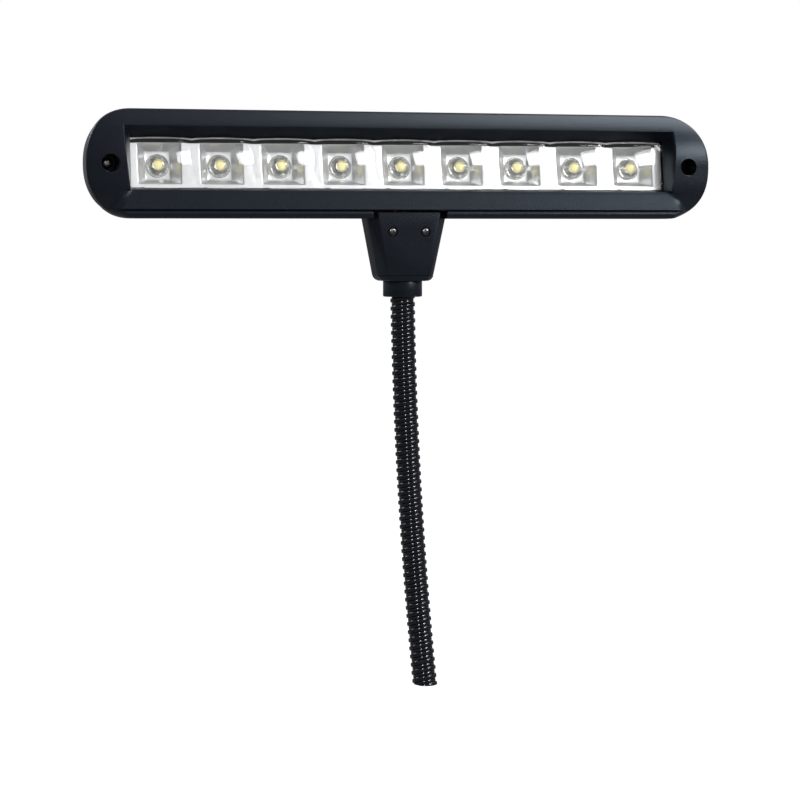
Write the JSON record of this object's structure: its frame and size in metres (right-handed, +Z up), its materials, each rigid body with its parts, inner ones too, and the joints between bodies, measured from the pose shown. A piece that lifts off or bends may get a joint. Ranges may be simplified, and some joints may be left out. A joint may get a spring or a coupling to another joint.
{
  "type": "picture light",
  "caption": "Gooseneck LED picture light: a rounded bar head with a row of LEDs in mirrored square cups, on a flexible wound metal neck.",
  "frame": {"origin": "centre of the flat lower end of the gooseneck, where it is held", "axes": "+X along the bar head, -Y the way the lamp face looks, +Z up from the held end towards the head"},
  "size_m": [0.2649, 0.0344, 0.2357],
  "materials": {
    "housing_plastic": "fine-textured black moulding, soft sheen",
    "collar_plastic": "smooth gloss black moulding",
    "gooseneck_metal": "gloss black lacquer over wound steel",
    "screw_black": "black oxide, bright where the driver has rubbed",
    "reflector_metallised": "vacuum metallised plastic",
    "lens_clear": "clear moulded acrylic",
    "led_resin": "clear epoxy over pale yellow phosphor",
    "circuit_board": "green solder mask",
    "resistor_body": "black ceramic chip",
    "fitting_steel": "zinc plated, turned",
    "cable_jacket": "matt black jacket",
    "plug_rubber": "matt black moulded plug",
    "clamp_nylon": "black nylon",
    "lead_red": "red insulation",
    "lead_black": "black insulation"
  },
  "bodies": {
    "neck_base": {"neck_segment_1": "gooseneck_metal", "cable_segment_1": "cable_jacket", "neck_end_plug": "plug_rubber"},
    "neck_link_2": {"neck_segment_2": "gooseneck_metal", "cable_segment_2": "cable_jacket"},
    "neck_link_3": {"neck_segment_3": "gooseneck_metal", "cable_segment_3": "cable_jacket"},
    "neck_link_4": {"neck_segment_4": "gooseneck_metal", "cable_segment_4": "cable_jacket"},
    "neck_link_5": {"neck_segment_5": "gooseneck_metal", "cable_segment_5": "cable_jacket"},
    "neck_link_6": {"neck_segment_6": "gooseneck_metal", "cable_segment_6": "cable_jacket"},
    "neck_link_7": {"neck_segment_7": "gooseneck_metal", "cable_segment_7": "cable_jacket"},
    "neck_link_8": {"neck_segment_8": "gooseneck_metal", "cable_segment_8": "cable_jacket"},
    "lamp_head": {"neck_segment_9": "gooseneck_metal", "cable_segment_9": "cable_jacket", "neck_collar": "collar_plastic", "neck_nipple": "fitting_steel", "neck_nut": "fitting_steel", "cable_clamp": "clamp_nylon", "cable_head": "cable_jacket", "lead_positive": "lead_red", "lead_negative": "lead_black", "rear_housing": "housing_plastic", "front_bezel": "housing_plastic", "neck_cover": "housing_plastic", "bezel_screw_left": "screw_black", "bezel_screw_right": "screw_black", "cover_screw_left": "screw_black", "cover_screw_right": "screw_black", "reflector_strip": "reflector_metallised", "lens_cover": "lens_clear", "led_board": "circuit_board", "led_1": "led_resin", "led_2": "led_resin", "led_3": "led_resin", "led_4": "led_resin", "led_5": "led_resin", "led_6": "led_resin", "led_7": "led_resin", "led_8": "led_resin", "led_9": "led_resin", "resistor_1": "resistor_body", "resistor_2": "resistor_body", "resistor_3": "resistor_body"}
  },
  "joints": [
    {"name": "bend_1", "type": "hinge", "parent": "neck_base", "child": "neck_link_2", "pos_m": [-0.00073, 0.00359, 0.01774], "axis": [0.9992, 0.0073, 0.0383], "range_deg": [-20, 20], "stiffness_Nm_per_rad": 3},
    {"name": "sway_1", "type": "hinge", "parent": "neck_link_2", "child": "neck_link_3", "pos_m": [-0.00141, 0.00677, 0.03549], "axis": [0, 0.9863, -0.1652], "range_deg": [-20, 20], "stiffness_Nm_per_rad": 3},
    {"name": "bend_2", "type": "hinge", "parent": "neck_link_3", "child": "neck_link_4", "pos_m": [-0.00203, 0.00954, 0.05323], "axis": [0.9994, 0.0047, 0.0329], "range_deg": [-20, 20], "stiffness_Nm_per_rad": 3},
    {"name": "sway_2", "type": "hinge", "parent": "neck_link_4", "child": "neck_link_5", "pos_m": [-0.0026, 0.01189, 0.07098], "axis": [0, 0.9928, -0.12], "range_deg": [-20, 20], "stiffness_Nm_per_rad": 3},
    {"name": "bend_3", "type": "hinge", "parent": "neck_link_5", "child": "neck_link_6", "pos_m": [-0.00311, 0.01383, 0.08872], "axis": [0.9996, 0.0026, 0.0271], "range_deg": [-20, 20], "stiffness_Nm_per_rad": 3},
    {"name": "sway_3", "type": "hinge", "parent": "neck_link_6", "child": "neck_link_7", "pos_m": [-0.00357, 0.01536, 0.10647], "axis": [0, 0.9973, -0.0741], "range_deg": [-20, 20], "stiffness_Nm_per_rad": 3},
    {"name": "bend_4", "type": "hinge", "parent": "neck_link_7", "child": "neck_link_8", "pos_m": [-0.00398, 0.01647, 0.12421], "axis": [0.9998, 0.0011, 0.0211], "range_deg": [-20, 20], "stiffness_Nm_per_rad": 3},
    {"name": "sway_4", "type": "hinge", "parent": "neck_link_8", "child": "lamp_head", "pos_m": [-0.00432, 0.01717, 0.14196], "axis": [0, 0.9996, -0.0276], "range_deg": [-20, 20], "stiffness_Nm_per_rad": 3}
  ],
  "couplings": [
    {"joint": "bend_2", "follows": "bend_1", "ratio": 1},
    {"joint": "bend_3", "follows": "bend_1", "ratio": 1},
    {"joint": "bend_4", "follows": "bend_1", "ratio": 1},
    {"joint": "sway_2", "follows": "sway_1", "ratio": 1},
    {"joint": "sway_3", "follows": "sway_1", "ratio": 1},
    {"joint": "sway_4", "follows": "sway_1", "ratio": 1}
  ]
}
